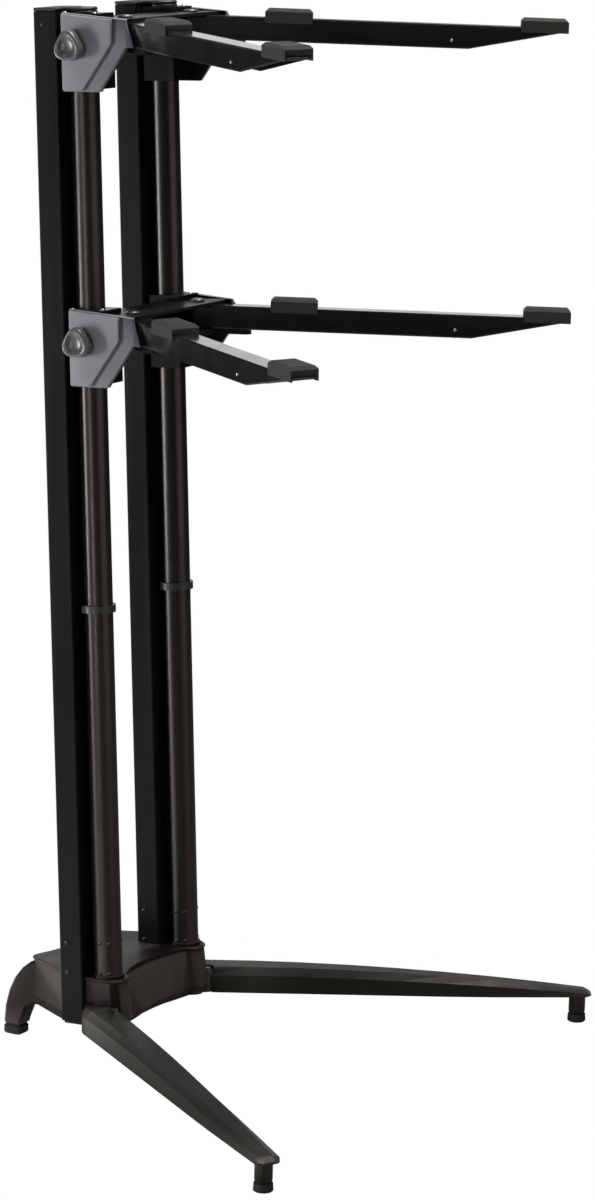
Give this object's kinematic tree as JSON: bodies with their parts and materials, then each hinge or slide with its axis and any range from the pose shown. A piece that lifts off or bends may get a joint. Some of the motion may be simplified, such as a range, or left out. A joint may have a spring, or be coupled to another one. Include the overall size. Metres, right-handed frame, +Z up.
{
  "type": "column keyboard stand",
  "caption": "Leaning twin-column keyboard stand with a cast base, folding front legs and height-adjustable tiers of swinging padded arms.",
  "frame": {"origin": "on the floor, under the middle of the stand's bounding box", "axes": "+Z up; the arms and the front legs point to -Y; +X is the right side as seen from the front, looking along +Y"},
  "size_m": [0.8336, 0.5978, 1.3034],
  "materials": {
    "satin_black_aluminium": "satin black anodised",
    "blue_grey_plate": "satin blue-grey",
    "black_plastic": "matt black",
    "knob_plastic": "fine-grained black",
    "arm_black_paint": "satin black paint",
    "dark_rubber": "matt",
    "zinc_steel": "zinc plated",
    "shoe_nylon": "matt",
    "brown_black_casting": "satin brown-black paint on a casting",
    "leg_black_casting": "satin black paint on a casting"
  },
  "bodies": {
    "base": {"base_housing": "brown_black_casting", "base_top_plate": "brown_black_casting", "top_bridge": "satin_black_aluminium", "left_column_tube": "satin_black_aluminium", "left_column_channel": "satin_black_aluminium", "left_column_cap": "black_plastic", "left_rear_foot_pad": "dark_rubber", "left_leg_pin": "zinc_steel", "right_column_tube": "satin_black_aluminium", "right_column_channel": "satin_black_aluminium", "right_column_cap": "black_plastic", "right_rear_foot_pad": "dark_rubber", "right_leg_pin": "zinc_steel"},
    "left_front_leg": {"left_front_leg": "leg_black_casting", "left_foot_post": "leg_black_casting", "left_foot_cap": "dark_rubber"},
    "left_cable_clip": {"left_cable_clip": "black_plastic"},
    "right_front_leg": {"right_front_leg": "leg_black_casting", "right_foot_post": "leg_black_casting", "right_foot_cap": "dark_rubber"},
    "right_cable_clip": {"right_cable_clip": "black_plastic"},
    "tier_upper": {"tier_upper_carriage": "satin_black_aluminium", "tier_upper_left_side_plate": "blue_grey_plate", "tier_upper_left_clamp_plate": "blue_grey_plate", "tier_upper_left_clamp_shoe": "shoe_nylon", "tier_upper_left_arm_pin": "zinc_steel", "tier_upper_right_side_plate": "blue_grey_plate", "tier_upper_right_clamp_plate": "blue_grey_plate", "tier_upper_right_clamp_shoe": "shoe_nylon", "tier_upper_right_arm_pin": "zinc_steel"},
    "tier_upper_left_knob": {"tier_upper_left_knob": "knob_plastic", "tier_upper_left_clamp_screw": "zinc_steel"},
    "tier_upper_left_arm": {"tier_upper_left_arm": "arm_black_paint", "tier_upper_left_pad_inner": "dark_rubber", "tier_upper_left_pad_outer": "dark_rubber"},
    "tier_upper_right_knob": {"tier_upper_right_knob": "knob_plastic", "tier_upper_right_clamp_screw": "zinc_steel"},
    "tier_upper_right_arm": {"tier_upper_right_arm": "arm_black_paint", "tier_upper_right_pad_inner": "dark_rubber", "tier_upper_right_pad_outer": "dark_rubber"},
    "tier_lower": {"tier_lower_carriage": "satin_black_aluminium", "tier_lower_left_side_plate": "blue_grey_plate", "tier_lower_left_clamp_plate": "blue_grey_plate", "tier_lower_left_clamp_shoe": "shoe_nylon", "tier_lower_left_arm_pin": "zinc_steel", "tier_lower_right_side_plate": "blue_grey_plate", "tier_lower_right_clamp_plate": "blue_grey_plate", "tier_lower_right_clamp_shoe": "shoe_nylon", "tier_lower_right_arm_pin": "zinc_steel"},
    "tier_lower_left_knob": {"tier_lower_left_knob": "knob_plastic", "tier_lower_left_clamp_screw": "zinc_steel"},
    "tier_lower_left_arm": {"tier_lower_left_arm": "arm_black_paint", "tier_lower_left_pad_inner": "dark_rubber", "tier_lower_left_pad_outer": "dark_rubber"},
    "tier_lower_right_knob": {"tier_lower_right_knob": "knob_plastic", "tier_lower_right_clamp_screw": "zinc_steel"},
    "tier_lower_right_arm": {"tier_lower_right_arm": "arm_black_paint", "tier_lower_right_pad_inner": "dark_rubber", "tier_lower_right_pad_outer": "dark_rubber"}
  },
  "joints": [
    {"name": "left_leg_fold", "type": "hinge", "parent": "base", "child": "left_front_leg", "pos_m": [-0.1112, 0.10998, 0.0585], "axis": [0, 0, 1], "range_deg": [0, 34.6]},
    {"name": "left_clip_slide", "type": "slide", "parent": "base", "child": "left_cable_clip", "axis": [0, 0.0523, 0.9986], "range_m": [-0.2, 0.1]},
    {"name": "right_leg_fold", "type": "hinge", "parent": "base", "child": "right_front_leg", "pos_m": [0.1112, 0.10998, 0.0585], "axis": [0, 0, -1], "range_deg": [0, 34.6]},
    {"name": "right_clip_slide", "type": "slide", "parent": "base", "child": "right_cable_clip", "axis": [0, 0.0523, 0.9986], "range_m": [-0.2, 0.1]},
    {"name": "tier_upper_height", "type": "slide", "parent": "base", "child": "tier_upper", "axis": [0, 0.0523, 0.9986], "range_m": [-0.15, 0]},
    {"name": "tier_upper_left_knob_turn", "type": "hinge", "parent": "tier_upper", "child": "tier_upper_left_knob", "pos_m": [-0.13, 0.18576, 1.25754], "axis": [-1, 0, 0], "range_deg": [0, 360]},
    {"name": "tier_upper_left_arm_swing", "type": "hinge", "parent": "tier_upper", "child": "tier_upper_left_arm", "pos_m": [-0.074, 0.14155, 1.27387], "axis": [0, 0.0523, 0.9986], "range_deg": [0, 33.1]},
    {"name": "tier_upper_right_knob_turn", "type": "hinge", "parent": "tier_upper", "child": "tier_upper_right_knob", "pos_m": [0.13, 0.18576, 1.25754], "axis": [1, 0, 0], "range_deg": [0, 360]},
    {"name": "tier_upper_right_arm_swing", "type": "hinge", "parent": "tier_upper", "child": "tier_upper_right_arm", "pos_m": [0.074, 0.14155, 1.27387], "axis": [0, -0.0523, -0.9986], "range_deg": [-4.1, 29]},
    {"name": "tier_lower_height", "type": "slide", "parent": "base", "child": "tier_lower", "axis": [0, 0.0523, 0.9986], "range_m": [-0.15, 0.09]},
    {"name": "tier_lower_left_knob_turn", "type": "hinge", "parent": "tier_lower", "child": "tier_lower_left_knob", "pos_m": [-0.13, 0.16718, 0.90302], "axis": [-1, 0, 0], "range_deg": [0, 360]},
    {"name": "tier_lower_left_arm_swing", "type": "hinge", "parent": "tier_lower", "child": "tier_lower_left_arm", "pos_m": [-0.074, 0.12298, 0.91936], "axis": [0, 0.0523, 0.9986], "range_deg": [0, 33.1]},
    {"name": "tier_lower_right_knob_turn", "type": "hinge", "parent": "tier_lower", "child": "tier_lower_right_knob", "pos_m": [0.13, 0.16718, 0.90302], "axis": [1, 0, 0], "range_deg": [0, 360]},
    {"name": "tier_lower_right_arm_swing", "type": "hinge", "parent": "tier_lower", "child": "tier_lower_right_arm", "pos_m": [0.074, 0.12298, 0.91936], "axis": [0, -0.0523, -0.9986], "range_deg": [-4.1, 29]}
  ]
}
